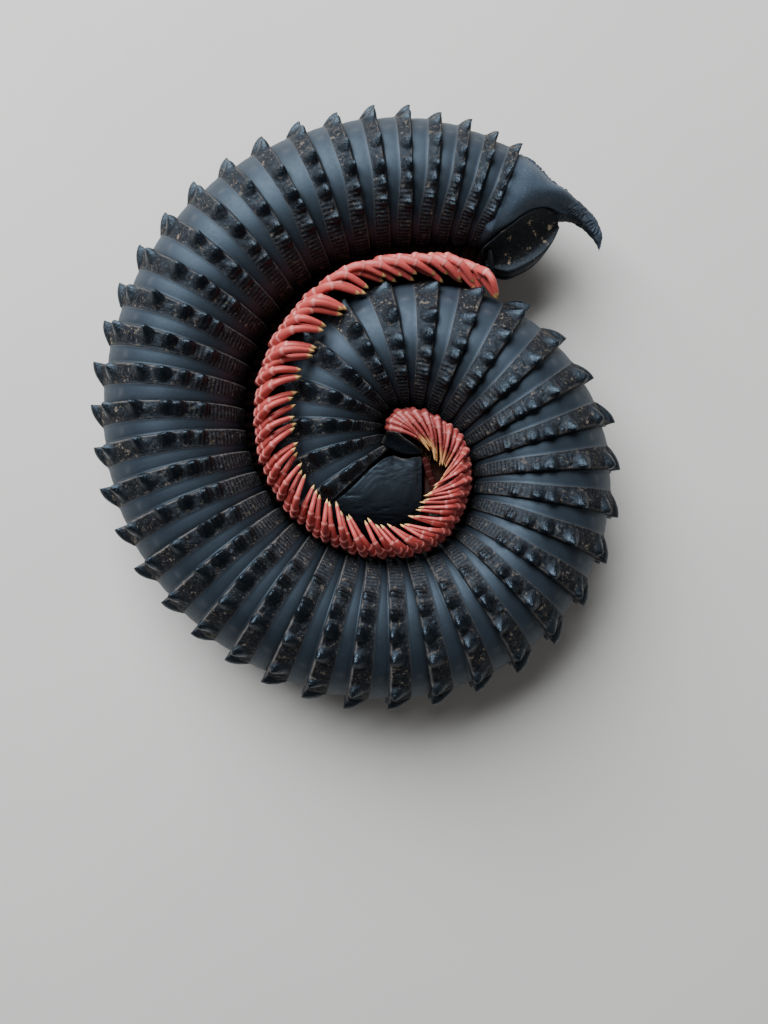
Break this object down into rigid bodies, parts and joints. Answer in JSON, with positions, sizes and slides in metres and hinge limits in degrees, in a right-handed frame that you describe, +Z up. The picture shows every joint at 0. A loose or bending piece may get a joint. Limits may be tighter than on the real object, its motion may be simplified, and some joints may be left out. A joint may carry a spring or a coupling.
{
  "type": "crested trigoniulid millipede",
  "caption": "Life-size still model of a large trigoniulid millipede coiled on its side, with rough toothed crests on black rings, red legs and a hooked tail.",
  "frame": {"origin": "centre of the bounding box at the floor, in the middle of the coil's footprint", "axes": "+Z up, square to the coil's plane and out of the animal's left side; +Y from the coil towards the tail end's side, the coil's longer way; +X to the side where the tail's hook points"},
  "size_m": [0.0504, 0.0578, 0.015],
  "materials": {
    "shell": "blue-black chitin, satin on the smooth bands and rough, glossy black on the crests",
    "head": "dark red-brown chitin, satin",
    "eye": "black, glossy, faceted",
    "limb": "translucent coral-red chitin with pale joints and cream tips"
  },
  "bodies": {
    "root": {"trunk_01": "shell", "trunk_02": "shell", "trunk_03": "shell", "trunk_04": "shell", "trunk_05": "shell", "trunk_06": "shell", "trunk_07": "shell", "trunk_08": "shell", "trunk_09": "shell", "trunk_10": "shell", "trunk_11": "shell", "trunk_12": "shell", "collum": "shell", "head": "head", "eye_left": "eye", "eye_right": "eye", "antenna_left": "limb", "antenna_right": "limb", "preanal_ring": "shell", "anal_valve_left": "shell", "anal_valve_right": "shell", "subanal_scale": "shell"}
  },
  "joints": []
}
